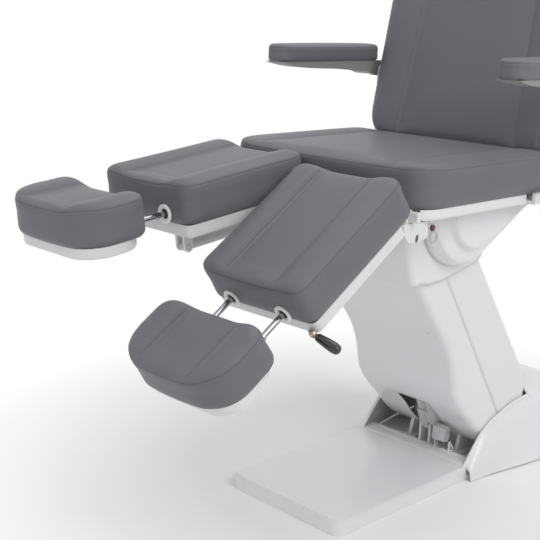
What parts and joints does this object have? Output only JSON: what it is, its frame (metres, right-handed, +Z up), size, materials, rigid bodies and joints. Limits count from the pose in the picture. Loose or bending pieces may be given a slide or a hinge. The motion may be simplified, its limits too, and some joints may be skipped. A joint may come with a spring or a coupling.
{
  "type": "podiatry chair",
  "caption": "Podiatry chair on a low base with a slanted lifting column, a tilting seat, a reclining back, folding armrests and two split leg rests that tilt and extend on their own.",
  "frame": {"origin": "on the floor at the middle of the underside of the base plate, on the chair's middle plane", "axes": "+Z up; the chair faces -Y, with the leg rests at the -Y end; +X is the left side of a person sitting in it"},
  "size_m": [0.764, 1.5835, 1.707],
  "materials": {
    "leatherette": "smooth grey leatherette",
    "white_cover": "white moulded cover",
    "white_frame": "white powder coat",
    "steel_frame": "grey paint",
    "chrome": "bright chrome",
    "zinc": "zinc plated steel",
    "black_plastic": "black moulded plastic"
  },
  "bodies": {
    "base": {"base_plate": "steel_frame", "base_foot_cover": "white_cover", "base_hood": "white_cover", "base_cheeks": "steel_frame", "base_pivot_pins": "zinc", "lift_actuator_bracket": "steel_frame", "control_box": "black_plastic", "power_inlet": "black_plastic"},
    "lift_arm": {"lift_arm": "steel_frame", "column_front_shell": "white_cover", "column_rear_shell": "white_cover", "column_screws": "zinc", "lift_rod_pin": "zinc"},
    "level_links": {"level_links": "steel_frame"},
    "lift_motor": {"lift_actuator_body": "black_plastic"},
    "lift_rod": {"lift_actuator_rod": "chrome"},
    "head": {"head_bracket": "steel_frame", "head_pivot_pins": "zinc", "head_cover": "white_cover", "tilt_shaft": "zinc"},
    "tilt_motor": {"tilt_actuator_body": "black_plastic"},
    "tilt_rod": {"tilt_actuator_rod": "chrome"},
    "seat": {"seat_frame": "steel_frame", "seat_pan": "white_cover", "seat_cushion": "leatherette", "left_hub_cover": "white_cover", "right_hub_cover": "white_cover", "leg_hinge_plates": "white_frame", "seat_pivot_pins": "zinc", "armrest_brackets": "white_frame", "back_actuator_body": "black_plastic"},
    "back_rod": {"back_actuator_rod": "chrome"},
    "back": {"back_frame": "steel_frame", "back_shell": "white_cover", "back_cushion": "leatherette", "headrest_guides": "black_plastic"},
    "headrest": {"headrest_rods": "chrome", "headrest_cushion": "leatherette"},
    "left_armrest": {"left_armrest_frame": "white_cover", "left_armrest_pad": "leatherette"},
    "right_armrest": {"right_armrest_frame": "white_cover", "right_armrest_pad": "leatherette"},
    "left_leg": {"left_calf_tray": "white_frame", "left_calf_cushion": "leatherette", "left_rod_flanges": "white_cover", "left_gas_spring_body": "black_plastic"},
    "left_gas_rod": {"left_gas_spring_rod": "chrome"},
    "left_lever": {"left_release_lever": "black_plastic"},
    "left_foot": {"left_foot_rods": "chrome", "left_foot_tray": "white_frame", "left_foot_cushion": "leatherette"},
    "right_leg": {"right_calf_tray": "white_frame", "right_calf_cushion": "leatherette", "right_rod_flanges": "white_cover", "right_gas_spring_body": "black_plastic"},
    "right_gas_rod": {"right_gas_spring_rod": "chrome"},
    "right_lever": {"right_release_lever": "black_plastic"},
    "right_foot": {"right_foot_rods": "chrome", "right_foot_tray": "white_frame", "right_foot_cushion": "leatherette"}
  },
  "joints": [
    {"name": "lift_swing", "type": "hinge", "parent": "base", "child": "lift_arm", "pos_m": [0, 0.216, 0.18], "axis": [-1, 0, 0], "range_deg": [-22, 8]},
    {"name": "link_swing", "type": "hinge", "parent": "base", "child": "level_links", "pos_m": [0, 0.296, 0.18], "axis": [-1, 0, 0], "range_deg": [-23, 9]},
    {"name": "head_level", "type": "hinge", "parent": "lift_arm", "child": "head", "pos_m": [0, -0.10048, 0.62369], "axis": [-1, 0, 0], "range_deg": [-9, 23]},
    {"name": "lift_motor_swing", "type": "hinge", "parent": "base", "child": "lift_motor", "pos_m": [0, 0.125, 0.08], "axis": [-1, 0, 0], "range_deg": [-20.5, 8.1]},
    {"name": "lift_rod_slide", "type": "slide", "parent": "lift_motor", "child": "lift_rod", "axis": [0, -0.3933, 0.9194], "range_m": [-0.0508, 0.0198]},
    {"name": "seat_tilt", "type": "hinge", "parent": "head", "child": "seat", "pos_m": [0, -0.05298, 0.70599], "axis": [1, 0, 0], "range_deg": [-12, 4]},
    {"name": "tilt_motor_swing", "type": "hinge", "parent": "head", "child": "tilt_motor", "pos_m": [0, -0.20048, 0.63769], "axis": [1, 0, 0], "range_deg": [-6, 3]},
    {"name": "tilt_rod_slide", "type": "slide", "parent": "tilt_motor", "child": "tilt_rod", "axis": [0, 0.9789, 0.2044], "range_m": [-0.011, 0.005]},
    {"name": "back_recline", "type": "hinge", "parent": "seat", "child": "back", "pos_m": [0, 0.17502, 0.79999], "axis": [-1, 0, 0], "range_deg": [-2, 76]},
    {"name": "back_rod_slide", "type": "slide", "parent": "seat", "child": "back_rod", "axis": [0, 0.989, 0.1478], "range_m": [-0.114, 0.005]},
    {"name": "headrest_slide", "type": "slide", "parent": "back", "child": "headrest", "axis": [0, 0.2079, 0.9781], "range_m": [-0.025, 0.09]},
    {"name": "left_armrest_lift", "type": "hinge", "parent": "seat", "child": "left_armrest", "pos_m": [0, 0.22542, 0.98799], "axis": [-1, 0, 0], "range_deg": [0, 90]},
    {"name": "right_armrest_lift", "type": "hinge", "parent": "seat", "child": "right_armrest", "pos_m": [0, 0.22542, 0.98799], "axis": [-1, 0, 0], "range_deg": [0, 90]},
    {"name": "left_leg_tilt", "type": "hinge", "parent": "seat", "child": "left_leg", "pos_m": [0, -0.37198, 0.72999], "axis": [1, 0, 0], "range_deg": [-33.6, 46.4]},
    {"name": "left_gas_slide", "type": "slide", "parent": "left_leg", "child": "left_gas_rod", "axis": [0, 0.8329, 0.5534], "range_m": [-0.0489, 0.0359]},
    {"name": "left_foot_slide", "type": "slide", "parent": "left_leg", "child": "left_foot", "axis": [0, -0.8329, -0.5534], "range_m": [-0.045, 0.06]},
    {"name": "left_lever_press", "type": "hinge", "parent": "left_leg", "child": "left_lever", "pos_m": [0.2804, -0.63885, 0.54745], "axis": [0, -0.8329, -0.5534], "range_deg": [-15, 0], "stiffness_Nm_per_rad": 1.5},
    {"name": "right_leg_tilt", "type": "hinge", "parent": "seat", "child": "right_leg", "pos_m": [0, -0.37198, 0.72999], "axis": [1, 0, 0], "range_deg": [-7, 73]},
    {"name": "right_gas_slide", "type": "slide", "parent": "right_leg", "child": "right_gas_rod", "axis": [0, 0.9925, 0.1219], "range_m": [-0.0758, 0.0091]},
    {"name": "right_foot_slide", "type": "slide", "parent": "right_leg", "child": "right_foot", "axis": [0, -0.9925, -0.1219], "range_m": [-0.045, 0.06]},
    {"name": "right_lever_press", "type": "hinge", "parent": "right_leg", "child": "right_lever", "pos_m": [-0.2804, -0.69234, 0.68627], "axis": [0, 0.9925, 0.1219], "range_deg": [-15, 0], "stiffness_Nm_per_rad": 1.5}
  ],
  "couplings": [
    {"joint": "link_swing", "follows": "lift_swing", "ratio": 1},
    {"joint": "head_level", "follows": "lift_swing", "ratio": -1},
    {"joint": "lift_motor_swing", "follows": "lift_swing", "ratio": 0.885},
    {"joint": "lift_rod_slide", "follows": "lift_swing", "m_per_rad": 0.1272},
    {"joint": "tilt_motor_swing", "follows": "seat_tilt", "ratio": 0.3785},
    {"joint": "tilt_rod_slide", "follows": "seat_tilt", "m_per_rad": 0.0409},
    {"joint": "back_rod_slide", "follows": "back_recline", "m_per_rad": -0.08388},
    {"joint": "left_gas_slide", "follows": "left_leg_tilt", "m_per_rad": -0.05788},
    {"joint": "right_gas_slide", "follows": "right_leg_tilt", "m_per_rad": -0.0579}
  ]
}
